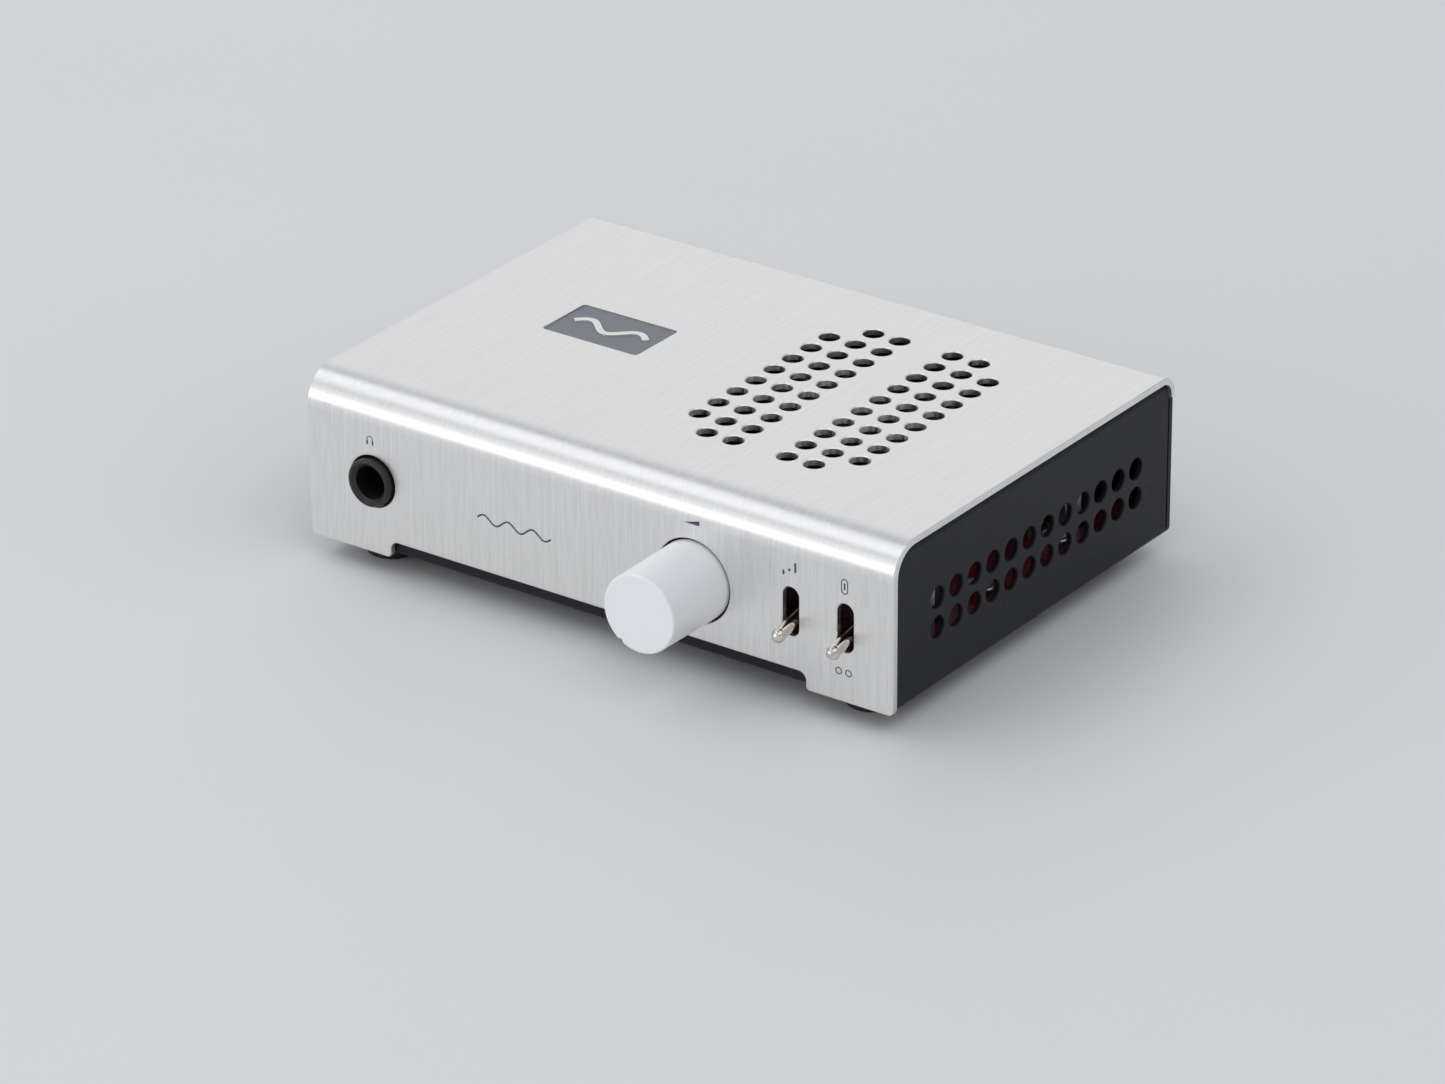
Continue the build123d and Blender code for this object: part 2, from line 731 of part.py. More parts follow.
def toggle(x, face, out):
    """Toggle switch at x behind a panel face; out is -1 when its lever points to the front."""
    pivot = face - out * pivot_setback
    tilt = Pos(x, pivot, control_z) * Rot(-out * lever_tilt, 0, 0) * Pos(-x, -pivot, -control_z)

    def along(near, far):
        return sorted((pivot + out * near, pivot + out * far))

    body_y = along(-toggle_setback, -toggle_setback - toggle_depth)
    height = 2 * axis_height
    body = block((x - toggle_width / 2, x + toggle_width / 2), body_y, (board_top, board_top + height))
    body = fillet(body.edges().filter_by(Axis.Y), moulded_edge)
    chamber = along(-toggle_setback + 1, -toggle_setback - toggle_depth + 1.5)
    housing = body - rod_y(tail_radius + tail_swing, x, chamber, control_z)

    plate_y = along(-toggle_setback + toggle_frame, -toggle_setback)
    side_x = toggle_width / 2 + toggle_frame
    frame = block((x - side_x, x + side_x), plate_y, (board_top, board_top + height))
    for side in (-1, 1):
        arm = sorted((x + side * toggle_width / 2, x + side * side_x))
        arm_y = along(-toggle_setback, -toggle_setback - toggle_depth * 0.6)
        frame = frame + block(arm, arm_y, (board_top, board_top + height - 2))
    frame = frame - rod_y(tail_radius + tail_swing, x, along(-toggle_setback - 1, 1), control_z)

    sleeve_y = along(-toggle_setback + toggle_frame, toggle_bushing_front)
    bushing = rod_y(toggle_bushing, x, sleeve_y, control_z)
    bore = lever_ball + ball_clearance
    bushing = bushing - rod_y(bore, x, along(-toggle_setback - 1, toggle_bushing_front + 1), control_z)
    bushing = bushing - rod_x(pivot_pin, (x - 10, x + 10), pivot, control_z)
    pin = rod_x(pivot_pin, (x - toggle_bushing, x + toggle_bushing), pivot, control_z)

    tip = (pivot_setback + lever_reach) / cos(radians(lever_tilt))
    lever = Pos(x, pivot, control_z) * Rot(0, 0, 0 if out > 0 else 180) * turned_lever(tip)
    lever = tilt * (lever - rod_x(pivot_pin + pin_running, (x - 10, x + 10), pivot, control_z))
    return {"housing": housing, "frame": frame, "bushing": bushing, "pin": pin, "lever": lever}


def turned_lever(tip):
    """Toggle lever along +Y about its pivot: thin tail, pivot ball, shank and round end."""
    tail = -sqrt(lever_ball ** 2 - tail_radius ** 2)
    neck = sqrt(lever_ball ** 2 - lever_radius ** 2)
    shoulder = tip - sqrt(lever_tip_radius ** 2 - lever_radius ** 2)
    side = lever_tip_radius * sin(pi / 4)
    profile = [
        Polyline((-tail_length, 0), (-tail_length, tail_radius), (tail, tail_radius)),
        ThreePointArc((tail, tail_radius), (0, lever_ball), (neck, lever_radius)),
        Line((neck, lever_radius), (shoulder, lever_radius)),
        ThreePointArc((shoulder, lever_radius), (tip + side, side), (tip + lever_tip_radius, 0)),
        Line((tip + lever_tip_radius, 0), (-tail_length, 0)),
    ]
    return revolve(Plane.YZ * make_face(profile), Axis.Y, 360)


def phono_pair(name):
    """Two phono sockets in one housing behind the rear panel."""
    z = phono_z
    middle = rear_places()[name]
    front = phono_front
    tip = rear_y + phono_reach
    inner = phono_root - phono_wall
    housing = block((middle - phono_width / 2, middle + phono_width / 2),
                    (front, rear_inner - nest_gap), (board_top, board_top + 2 * phono_axis - 1))
    housing = fillet(housing.edges().filter_by(Axis.Y), socket_edge)
    tapped = (rear_inner - socket_screw_length, rear_inner + 1)
    housing = housing - rod_y(screw_radius + screw_fit, middle, tapped, socket_screw_z)
    shells = []
    inserts = []
    contacts = []
    for x in phono_places(name):
        seat = front + 2
        housing = housing - rod_y(phono_root + nest_gap, x, (seat, rear_y), z)
        shoulder = rear_y + phono_shoulder
        shell = rod_y(phono_root, x, (seat, shoulder), z) + rod_y(phono_radius, x, (shoulder, tip), z)
        shell = shell - rod_y(inner, x, (seat - 1, tip + 1), z)
        shells.append(chamfer(edges_at(shell, "Y", tip), 0.12))
        hole = phono_pin_bore + phono_pin_wall + nest_gap
        insert = rod_y(inner - nest_gap, x, (seat, tip - 0.6), z)
        inserts.append(insert - rod_y(hole, x, (seat - 1, tip + 1), z))
        tube = rod_y(hole - nest_gap, x, (seat, tip - 0.9), z)
        contacts.append(tube - rod_y(phono_pin_bore, x, (seat + 1, tip), z))
    return {"housing": housing, "shells": group(shells), "inserts": group(inserts),
            "contacts": group(contacts)}


def socket_screws():
    """Self-tapping screws that hold the phono housings to the rear panel."""
    screws = []
    for name in ("input", "preout"):
        screw = pan_screw(0, 0, 0, socket_screw_length, 1, socket_head)
        screws.append(Pos(rear_places()[name], rear_y, socket_screw_z) * Rot(90, 0, 0) * screw)
    return group(screws)


def power_inlet_housing():
    """Barrel power inlet, its nose level with the rear panel."""
    x = rear_places()["inlet"]
    z = board_top + inlet_axis
    back = rear_inner - nest_gap
    housing = block((x - inlet_width / 2, x + inlet_width / 2), (back - inlet_depth, back),
                    (board_top, board_top + 2 * inlet_axis - 1.6))
    housing = fillet(housing.edges().filter_by(Axis.Y), socket_edge)
    housing = housing + rod_y(inlet_nose, x, (back, rear_y), z)
    return housing - rod_y(inlet_bore, x, (rear_y - inlet_bore_depth, rear_y + 1), z)


def power_inlet_pin():
    """Centre pin of the power inlet."""
    x = rear_places()["inlet"]
    floor = rear_y - inlet_bore_depth
    pin = rod_y(inlet_pin, x, (floor, rear_y - 0.8), board_top + inlet_axis)
    return fillet(edges_at(pin, "Y", rear_y - 0.8), 0.5)


def usb_shell():
    """Drawn steel shell of the USB port."""
    def stadium(grow):
        height = usb_height - 2 * grow
        return RectangleRounded(usb_width - 2 * grow, height, height / 2 - 0.01)

    x = rear_places()["usb"]
    outer = extrude(Plane.XZ * stadium(0), usb_depth)
    inner = Pos(0, 1, 0) * extrude(Plane.XZ * stadium(usb_wall), usb_depth)
    return Pos(x, rear_y, usb_z()) * (outer - inner)


def usb_tongue_piece():
    """Contact tongue in the middle of the USB port."""
    x = rear_places()["usb"]
    reach = usb_width / 2 - usb_wall - 0.7
    floor = rear_y - usb_depth + 1
    z = usb_z()
    return block((x - reach, x + reach), (floor, rear_y - 0.7), (z - usb_tongue / 2, z + usb_tongue / 2))


def spread(parts, low, high):
    """Middles of rows of the given depths, with equal gaps between low and high."""
    gap = (high - low - sum(parts)) / (len(parts) + 1)
    middles = []
    for depth in parts:
        low += gap
        middles.append(low + depth / 2)
        low += depth
    return middles


def left_rows():
    """Y of the relay row and of the capacitor row, between the jack and the phono sockets."""
    return spread([relay_size[1], 2 * capacitor_radius], jack_back, phono_front)


def sink_x():
    """X of the two heat sinks, side by side under the vents."""
    offset = (sink_width + part_gap) / 2
    return [knob_x - part_gap - offset, knob_x - part_gap + offset]


def heat_sinks():
    """Finned extrusions behind the power packages."""
    sinks = []
    high = (board_top, board_top + part_height)
    for x in sink_x():
        left = x - sink_width / 2
        sink = block((left, left + sink_width), (sink_front, sink_front + sink_web), high)
        for index in range(sink_fins):
            fin = left + index * (sink_width - sink_fin) / (sink_fins - 1)
            sink = sink + block((fin, fin + sink_fin), (sink_front + sink_web, sink_back), high)
        sinks.append(sink)
    return group(sinks)


def power_packages():
    """Four flat packages with metal tabs, two clipped to each heat sink."""
    tabs = []
    bodies = []
    low = board_top + package_lift
    tab_front = sink_front - tab_thickness
    leg_y = (tab_front - 1.0, tab_front - 0.5)
    for middle in sink_x():
        for side in (-1, 1):
            x = middle + side * (package_width + 0.4) / 2
            wide = (x - package_width / 2, x + package_width / 2)
            tab = block(wide, (tab_front, sink_front), (low, board_top + part_height - 0.5))
            hole = rod_y(screw_radius + screw_clearance, x, (tab_front - 1, sink_front + 1),
                         board_top + part_height - 3.5)
            tabs.append(tab - hole)
            body = block(wide, (sink_front - package_depth, tab_front), (low, low + package_height))
            legs = [block((x + step * lead_pitch - lead_width / 2, x + step * lead_pitch + lead_width / 2),
                          leg_y, (board_top, low)) for step in (-1, 0, 1)]
            bodies.append(body + legs)
    return {"tabs": group(tabs), "bodies": group(bodies)}


def supply_capacitors():
    """Upright cans in a row, as many as fit between the USB converter and the heat sinks."""
    _, y = left_rows()
    left = converter_x() + converter_size[0] / 2 + part_gap
    room = sink_x()[0] - sink_width / 2 - left
    top = board_top + part_height
    rib = (board_top + 2.2, board_top + 3.0)
    cans = []
    for index in range(int(room / capacitor_pitch)):
        x = left + capacitor_radius + index * capacitor_pitch
        can = fillet(edges_at(rod_z(capacitor_radius, x, y, (board_top, top)), "Z", top), can_edge)
        ring = rod_z(capacitor_radius + 1, x, y, rib) - rod_z(
            capacitor_radius - capacitor_crimp, x, y, (rib[0] - 1, rib[1] + 1))
        cans.append(can - ring)
    return group(cans)


def standing_boxes(size, left, gap, count, y, edge):
    """Equal boxes that stand on the board in a row along X, from the row's left end."""
    solids = []
    for index in range(count):
        x = left + size[0] / 2 + index * (size[0] + gap)
        solids.append(fillet(centred(x, y, board_top, size).edges().filter_by(Axis.Z), edge))
    return group(solids)


def relay_left():
    """Left end of the row of relays and film capacitors, clear of the board's screw."""
    return -board_side + 3 * head_radius + part_gap


def mute_relays():
    """Two output relays behind the headphone jack."""
    return standing_boxes(relay_size, relay_left(), part_gap, 2, left_rows()[0], moulded_edge)


def film_capacitors():
    """Box film capacitors in the signal path, beside the relays."""
    left = relay_left() + 2 * (relay_size[0] + part_gap)
    return standing_boxes(film_size, left, part_gap, 2, left_rows()[0], moulded_edge)


def amplifier_chips():
    """Small outline chips behind the front left post, between the jack and the volume control."""
    left = jack_x + jack_width / 2 + 2 * part_gap
    y = pillar_places()[0][1] + pillar_corner + part_gap + chip_size[1] / 2
    return standing_boxes(chip_size, left, chip_gap, 3, y, chip_edge)


def converter_x():
    """X of the USB converter chip, in line with its port."""
    return rear_places()["usb"]


def usb_converter():
    """Square converter chip in front of the USB port."""
    y = rear_y - usb_depth - part_gap - converter_size[1] / 2
    return standing_boxes(converter_size, converter_x() - converter_size[0] / 2, 0, 1, y, chip_edge)


def rectifier_diodes():
    """Column of four axial diodes between the rear right post and the heat sinks."""
    right = pillar_places()[-1][0] - pillar_corner - part_gap
    back = switch_back - part_gap - diode_radius
    return group([rod_x(diode_radius, (right - diode_length, right), back - row * diode_pitch,
                        board_top + diode_radius) for row in range(4)])


def build_nodes():
    """Every named piece of the amplifier."""
    nodes = {
        "top_cover": top_cover(),
        "chassis": chassis(),
        "rubber_feet": rubber_feet(),
        "cover_pillars": cover_pillars(),
        "cover_screws": cover_screws(),
        "board_standoffs": board_standoffs(),
        "board_screws": board_screws(),
        "main_board": main_board(),
        "headphone_jack_housing": headphone_jack_housing(),
        "headphone_jack_contacts": headphone_jack_contacts(),
        "volume_pot_case": volume_pot_case(),
        "volume_pot_bushing": volume_pot_bushing(),
        "volume_pot_track": volume_pot_track(),
        "volume_pot_wiper": volume_pot_wiper(),
        "volume_pot_shaft": volume_pot_shaft(),
        "volume_knob": volume_knob(),
        "socket_screws": socket_screws(),
        "power_inlet_housing": power_inlet_housing(),
        "power_inlet_pin": power_inlet_pin(),
        "usb_shell": usb_shell(),
        "usb_tongue": usb_tongue_piece(),
        "heat_sinks": heat_sinks(),
        "supply_capacitors": supply_capacitors(),
        "mute_relays": mute_relays(),
        "film_capacitors": film_capacitors(),
        "amplifier_chips": amplifier_chips(),
        "usb_converter": usb_converter(),
        "rectifier_diodes": rectifier_diodes(),
    }
    switches = {"gain": (gain_x, front_y, -1), "input": (input_x, front_y, -1),
                "power": (rear_places()["power"], rear_y, 1)}
    for name, place in switches.items():
        for piece, solid in toggle(*place).items():
            nodes[f"{name}_switch_{piece}"] = solid
    for name in ("input", "preout"):
        for piece, solid in phono_pair(name).items():
            nodes[f"{name}_socket_{piece}"] = solid
    for piece, solid in power_packages().items():
        nodes[f"power_package_{piece}"] = solid
    return nodes


os.makedirs("parts", exist_ok=True)
for node, solid in build_nodes().items():
    export_step(solid, f"parts/{node}.step")
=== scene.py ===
import json
import random
from math import atan2, cos, pi, radians, sin

import bmesh
import bpy
from mathutils import Matrix, Vector


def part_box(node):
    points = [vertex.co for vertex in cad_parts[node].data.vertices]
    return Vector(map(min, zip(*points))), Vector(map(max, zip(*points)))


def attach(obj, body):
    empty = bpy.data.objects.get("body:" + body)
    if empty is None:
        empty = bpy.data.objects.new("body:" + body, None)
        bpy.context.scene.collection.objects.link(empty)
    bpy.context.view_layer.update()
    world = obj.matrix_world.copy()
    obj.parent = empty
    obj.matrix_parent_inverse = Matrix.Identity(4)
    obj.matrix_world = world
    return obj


# Looks for the desktop headphone amplifier: a finish for every CAD node, printed marks, small
# board parts, a pale floor, soft light and the camera. Shapes are drawn in millimetres.

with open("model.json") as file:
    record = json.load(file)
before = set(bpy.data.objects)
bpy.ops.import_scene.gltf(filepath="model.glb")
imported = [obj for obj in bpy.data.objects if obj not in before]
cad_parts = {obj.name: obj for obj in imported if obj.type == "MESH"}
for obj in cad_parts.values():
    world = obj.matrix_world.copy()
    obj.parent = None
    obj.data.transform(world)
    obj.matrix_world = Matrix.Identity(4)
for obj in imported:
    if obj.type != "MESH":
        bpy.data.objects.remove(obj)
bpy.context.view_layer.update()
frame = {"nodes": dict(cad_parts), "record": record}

MM = 0.001
NODES = frame["nodes"]

# ---------------------------------------------------------------- places read from the frame
cover_low, cover_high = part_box("top_cover")
knob_low, knob_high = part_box("volume_knob")
jack_low, jack_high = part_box("headphone_jack_housing")
gain_low, gain_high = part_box("gain_switch_bushing")
input_low, input_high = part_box("input_switch_bushing")
board_low, board_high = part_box("main_board")

front_y = cover_low.y
rear_y = cover_high.y
top_z = cover_high.z
control_z = (knob_low.z + knob_high.z) / 2
knob_x = (knob_low.x + knob_high.x) / 2
jack_x = (jack_low.x + jack_high.x) / 2
gain_x = (gain_low.x + gain_high.x) / 2
input_x = (input_low.x + input_high.x) / 2
board_top = board_high.z

# ---------------------------------------------------------------- sizes in millimetres
INK_THICKNESS = 0.03
INK_PROUD = 0.02
HEADPHONE_MARK = (-0.38, 8.15)     # each symbol, right of and above the middle of its control
HEADBAND_LINE = 0.17
HEADBAND_DROP = 0.35
CUP_X = 0.60
CUP_DROP = 0.62
CUP_SIZE = (0.34, 0.95)
VOLUME_MARK = (-0.08, 10.94)
WEDGE_HALF = 1.67
WEDGE_HEIGHT = 0.9
GAIN_STEPS = ((-1.47, 7.2, 0.42, 0.95), (-0.24, 7.93, 0.5, 0.52), (1.0, 8.6, 0.42, 1.95))
USB_MARK = (-0.13, 7.94)
USB_CAPSULE = (1.26, 2.76)
USB_LINE = 0.2
USB_BAR = (0.34, 1.35)
PHONO_MARK = (-0.29, -8.38)
PHONO_RING = 0.59
PHONO_RING_X = 1.02
PHONO_LINE = 0.21
TRACE_PLACE = (-17.4, -0.55)       # from the case's middle and the controls' height
TRACE_SIZE = (16.2, 1.5)
TRACE_PERIODS = 3
TRACE_LINE = 0.34
REAR_MARK_OFFSET = 6.9             # middle of a rear symbol above or below its socket
REAR_ARROW = (4.2, 0.5, 1.5)       # length, shaft and head
REAR_BAR_X = 3.0
REAR_BAR = (0.5, 2.2)
REAR_USB_LINE = 0.25
REAR_USB_BAR = (0.36, 1.35)
REAR_ON_BAR = (0.4, 2.0)
REAR_OFF_RING = 1.0
REAR_OFF_LINE = 0.36
REAR_INLET_WAVE = (3.6, 1.3)
REAR_INLET_LINE = 0.4
BADGE_SIZE = (21.2, 13.0, 0.3)
BADGE_LEFT = 22.85
BADGE_FRONT = 39.5
BADGE_LINE = 1.3
BADGE_WAVE = 3.4
BADGE_PERIODS = 1.5
BADGE_CORNER = 0.75
BADGE_GAP = 0.02             # enamel to the recess's wall
BADGE_FILL = 0.06
BADGE_MIDDLE = 0.02          # of the enamel, above the recess's floor
CAN_PITCH = 10.8             # supply capacitors, middle to middle
CAN_STRIPE = 8.6             # stripe's start, from a can's left side
CAN_RIM = 0.25               # bare metal under a can's top
CAN_DASH = 4.0
CAN_DASH_GAP = 1.4
SPOT_STEP = 2.6              # grid of the smallest board parts
SPOT_MARGIN = 1.4
SPOT_SHARE_EMPTY = 0.45
SPOT_SEED = 7
RESISTOR = (1.6, 0.8, 0.45)  # length, width and height
CERAMIC = (2.0, 1.25, 0.8)
END_HALF = 0.2               # of a tinned end, along its part
END_INSET = 0.12             # its middle from the part's end
END_PROUD = 0.03
BOARD_RIM = 2.0              # no small parts this near the board's edge
POST_REACH = 4.6             # kept clear round a post or screw
POST_APART = 8.0             # vertices nearer than this belong to one post
CHIP_COUNT = 3
CHIP_STEP = 6.9
CHIP_LEGS = 4                # on each side
CHIP_LEG_FIRST = 0.55
CHIP_LEG_PITCH = 1.27
CONVERTER_LEGS = 9
CONVERTER_LEG_PITCH = 0.7
LEG_HALF_WIDTH = 0.17
LEG_SPANS = (((-0.1, 0.45), 0.6, 0.78), ((0.3, 0.46), 0.0, 0.78), ((0.3, 0.95), 0.0, 0.16))
POST_NODES = ("cover_pillars", "board_screws")

# ---------------------------------------------------------------- camera
CAMERA_RIGHT = 671.75 * MM
CAMERA_AHEAD = 895.09 * MM          # in front of the panel's face
CAMERA_HEIGHT = 561.49 * MM
CAMERA_YAW = radians(35.732)
CAMERA_PITCH = radians(25.839)
CAMERA_ROLL = radians(-0.308)
SENSOR_WIDTH = 36.0
LENS = 177.33


def make_camera():
    """Camera at the viewing angle of the reference, set by yaw, pitch and roll."""
    forward = Vector((-sin(CAMERA_YAW) * cos(CAMERA_PITCH), cos(CAMERA_YAW) * cos(CAMERA_PITCH),
                      -sin(CAMERA_PITCH)))
    right = forward.cross(Vector((0, 0, 1))).normalized()
    up = right.cross(forward)
    rolled_right = right * cos(CAMERA_ROLL) + up * sin(CAMERA_ROLL)
    rolled_up = up * cos(CAMERA_ROLL) - right * sin(CAMERA_ROLL)
    turn = Matrix((rolled_right, rolled_up, -forward)).transposed().to_4x4()
    data = bpy.data.cameras.new("camera")
    data.sensor_width = SENSOR_WIDTH
    data.lens = LENS
    camera = bpy.data.objects.new("camera", data)
    camera.matrix_world = Matrix.Translation((CAMERA_RIGHT, front_y - CAMERA_AHEAD, CAMERA_HEIGHT)) @ turn
    bpy.context.scene.collection.objects.link(camera)
    bpy.context.scene.camera = camera


# ---------------------------------------------------------------- node tree helpers
class Surface:
    """A Principled material whose nodes are added by short calls. Lengths in it are millimetres."""

    def __init__(self, name, color, metallic=0.0, roughness=0.5, **sockets):
        self.material = bpy.data.materials.new(name)
        self.material.use_nodes = True
        self.tree = self.material.node_tree
        self.shader = self.tree.nodes["Principled BSDF"]
        self.set(self.shader, "Base Color", (*color, 1.0))
        self.set(self.shader, "Metallic", metallic)
        self.set(self.shader, "Roughness", roughness)
        for socket, value in sockets.items():
            self.set(self.shader, socket.replace("_", " "), value)

    def set(self, node, socket, value):
        """A number or colour goes on the socket itself, another node's output is linked to it."""
        target = node.inputs[socket]
        if isinstance(value, bpy.types.NodeSocket):
            self.tree.links.new(value, target)
        else:
            target.default_value = value

    def add(self, kind, output=0, settings=None, **sockets):
        """New node with its settings and inputs; gives the output socket."""
        node = self.tree.nodes.new(kind)
        for key, value in (settings or {}).items():
            setattr(node, key, value)
        for socket, value in sockets.items():
            name = socket.replace("_", " ")
            self.set(node, int(name[1:]) if name[0] == "i" and name[1:].isdigit() else name, value)
        return node.outputs[output]

    def place(self, scale=(1, 1, 1)):
        """Object position in millimetres, stretched by scale."""
        where = self.add("ShaderNodeTexCoord", "Object")
        size = tuple(value / MM for value in scale)
        return self.add("ShaderNodeMapping", Vector=where, Scale=size)

    def noise(self, scale, place=(1, 1, 1), detail=2.0, roughness=0.5):
        """Noise from 0 to 1 with scale features per millimetre."""
        return self.add("ShaderNodeTexNoise", "Fac", Vector=self.place(place), Scale=scale,
                        Detail=detail, Roughness=roughness)

    def math(self, operation, first, second):
        """One arithmetic step."""
        return self.add("ShaderNodeMath", settings={"operation": operation}, i0=first, i1=second)

    def ramp(self, factor, low, high, start=0.0, end=1.0):
        """Maps factor from start..end to low..high."""
        return self.add("ShaderNodeMapRange", Value=factor, From_Min=start, From_Max=end,
                        To_Min=low, To_Max=high)

    def mix(self, factor, first, second):
        """Colour between first and second."""
        node = self.tree.nodes.new("ShaderNodeMix")
        node.data_type = "RGBA"
        self.set(node, 0, factor)
        for index, value in ((6, first), (7, second)):
            self.set(node, index, (*value, 1.0) if isinstance(value, tuple) else value)
        return node.outputs[2]

    def color(self, value):
        """Base colour, flat or from a node."""
        self.set(self.shader, "Base Color", value)

    def rough(self, value):
        """Roughness, flat or from a node."""
        self.set(self.shader, "Roughness", value)

    def bump(self, height, distance, strength):
        """Bump of a texture that is distance millimetres deep."""
        normal = self.add("ShaderNodeBump", Height=height, Distance=distance * MM, Strength=strength)
        self.set(self.shader, "Normal", normal)


# ---------------------------------------------------------------- materials
def brushed_cover():
    """Aluminium brushed round the bends: lines run along Y on the top and along Z on the front."""
    s = Surface("brushed_aluminium", (0.87, 0.865, 0.85), metallic=1.0, Anisotropic=0.72,
                Anisotropic_Rotation=0.25)
    fine = s.noise(1.0, place=(5.5, 0.14, 0.14), detail=3.0, roughness=0.6)
    broad = s.noise(1.0, place=(1.3, 0.05, 0.05), detail=2.0)
    lines = s.math("ADD", s.math("MULTIPLY", fine, 0.65), s.math("MULTIPLY", broad, 0.35))
    shade = s.ramp(lines, 0.0, 1.0, 0.33, 0.67)
    s.color(s.mix(shade, (0.78, 0.775, 0.765), (0.965, 0.955, 0.94)))
    s.rough(s.ramp(lines, 0.27, 0.43, 0.35, 0.65))
    around = s.add("ShaderNodeTangent", settings={"direction_type": "RADIAL", "axis": "X"})
    s.set(s.shader, "Tangent", around)
    s.bump(lines, 0.006, 0.7)
    return s.material


def charcoal_paint():
    """Satin charcoal coat with a fine orange-peel grain."""
    s = Surface("charcoal_paint", (0.014, 0.015, 0.019), roughness=0.42, Specular_IOR_Level=0.22,
                Coat_Weight=0.05, Coat_Roughness=0.32)
    grain = s.noise(3.2, detail=3.0, roughness=0.6)
    flecks = s.noise(7.0, detail=1.0)
    spread = s.ramp(flecks, 0.0, 1.0, 0.45, 0.75)
    s.color(s.mix(spread, (0.0055, 0.0058, 0.0088), (0.021, 0.0225, 0.0305)))
    s.rough(s.ramp(grain, 0.36, 0.52, 0.35, 0.65))
    s.bump(grain, 0.02, 0.8)
    return s.material


def knob_finish():
    """Fine-blasted pale silver with a soft sheen."""
    s = Surface("satin_silver", (0.95, 0.955, 0.97), metallic=0.1, roughness=0.36)
    grain = s.noise(9.0, detail=2.0)
    cloud = s.noise(0.25, detail=2.0)
    s.color(s.mix(cloud, (0.94, 0.947, 0.965), (0.965, 0.97, 0.98)))
    s.rough(s.ramp(grain, 0.32, 0.42, 0.3, 0.7))
    s.bump(grain, 0.003, 0.6)
    return s.material


def metal(name, dark, light, low, high, scale=3.0, depth=0.002):
    """Plated or turned metal, its colour and gloss slightly uneven."""
    s = Surface(name, light, metallic=1.0, roughness=low)
    wear = s.noise(0.6, detail=4.0, roughness=0.6)
    grain = s.noise(scale, detail=2.0)
    s.color(s.mix(s.ramp(wear, 0.0, 1.0, 0.35, 0.65), dark, light))
    s.rough(s.ramp(wear, low, high, 0.3, 0.7))
    s.bump(grain, depth, 0.5)
    return s.material


def moulded(name, dark, light, low, high, scale=5.0, depth=0.01):
    """Moulded plastic or rubber with a fine spark-eroded grain."""
    s = Surface(name, light, roughness=low)
    grain = s.noise(scale, detail=3.0, roughness=0.6)
    cloud = s.noise(0.3, detail=3.0)
    s.color(s.mix(s.ramp(cloud, 0.0, 1.0, 0.3, 0.7), dark, light))
    s.rough(s.ramp(grain, low, high, 0.3, 0.7))
    s.bump(grain, depth, 0.7)
    return s.material


def board_mask():
    """Red solder mask: darker laminate, raised tracks and tinned via rings."""
    s = Surface("red_solder_mask", (0.27, 0.01, 0.008), roughness=0.28, Coat_Weight=0.3, Coat_Roughness=0.2)
    lanes = s.add("ShaderNodeTexBrick", "Fac", Vector=s.place(), Scale=1.0, Brick_Width=5.3,
                  Row_Height=1.1, Mortar_Size=0.2, Mortar_Smooth=0.3)
    spots = s.add("ShaderNodeTexVoronoi", "Distance", Vector=s.place(), Scale=0.34, Randomness=0.8)
    via = s.ramp(spots, 1.0, 0.0, 0.09, 0.11)
    base = s.mix(lanes, (0.20, 0.006, 0.005), (0.34, 0.016, 0.012))
    s.color(s.mix(via, base, (0.62, 0.58, 0.50)))
    s.set(s.shader, "Metallic", via)
    s.bump(lanes, 0.03, 0.5)
    return s.material


def sleeve():
    """Shrink sleeve with a pale stripe down one side, open over the aluminium top."""
    low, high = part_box("supply_capacitors")
    s = Surface("capacitor_sleeve", (0.012, 0.014, 0.03), roughness=0.3)
    axes = s.add("ShaderNodeSeparateXYZ", "X", Vector=s.place())
    height = axes.node.outputs["Z"]
    along = s.math("MODULO", s.math("SUBTRACT", axes, low.x / MM), CAN_PITCH)
    stripe = s.math("GREATER_THAN", along, CAN_STRIPE)
    rim = s.math("GREATER_THAN", height, high.z / MM - CAN_RIM)
    dashes = s.math("GREATER_THAN", s.math("MODULO", height, CAN_DASH), CAN_DASH_GAP)
    marked = s.mix(s.math("MULTIPLY", stripe, dashes), (0.012, 0.014, 0.032), (0.45, 0.46, 0.50))
    worn = s.noise(1.5, detail=3.0)
    s.color(s.mix(rim, marked, s.mix(worn, (0.62, 0.62, 0.62), (0.82, 0.82, 0.82))))
    s.set(s.shader, "Metallic", rim)
    s.rough(s.ramp(worn, 0.24, 0.38))
    s.bump(worn, 0.01, 0.4)
    return s.material


def two_tone(name, node, first, second):
    """Moulded pair: the solid at lower X in the first colour and the other in the second."""
    low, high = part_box(node)
    s = Surface(name, first, roughness=0.35)
    x = s.add("ShaderNodeSeparateXYZ", "X", Vector=s.place())
    side = s.math("GREATER_THAN", x, (low.x + high.x) / 2 / MM)
    grain = s.noise(4.0, detail=3.0)
    shade = s.ramp(grain, 0.88, 1.0)
    tone = s.mix(side, first, second)
    s.color(s.mix(shade, (0.0, 0.0, 0.0), tone))
    s.rough(s.ramp(grain, 0.3, 0.45))
    s.bump(grain, 0.01, 0.5)
    return s.material


def ink(name, dark, light):
    """Printed ink, a little uneven, following the metal under it."""
    s = Surface(name, light, roughness=0.5)
    grain = s.noise(6.0, place=(1.0, 0.4, 0.4), detail=3.0)
    s.color(s.mix(s.ramp(grain, 0.0, 1.0, 0.35, 0.65), dark, light))
    s.rough(s.ramp(grain, 0.42, 0.6))
    s.bump(grain, 0.004, 0.5)
    return s.material


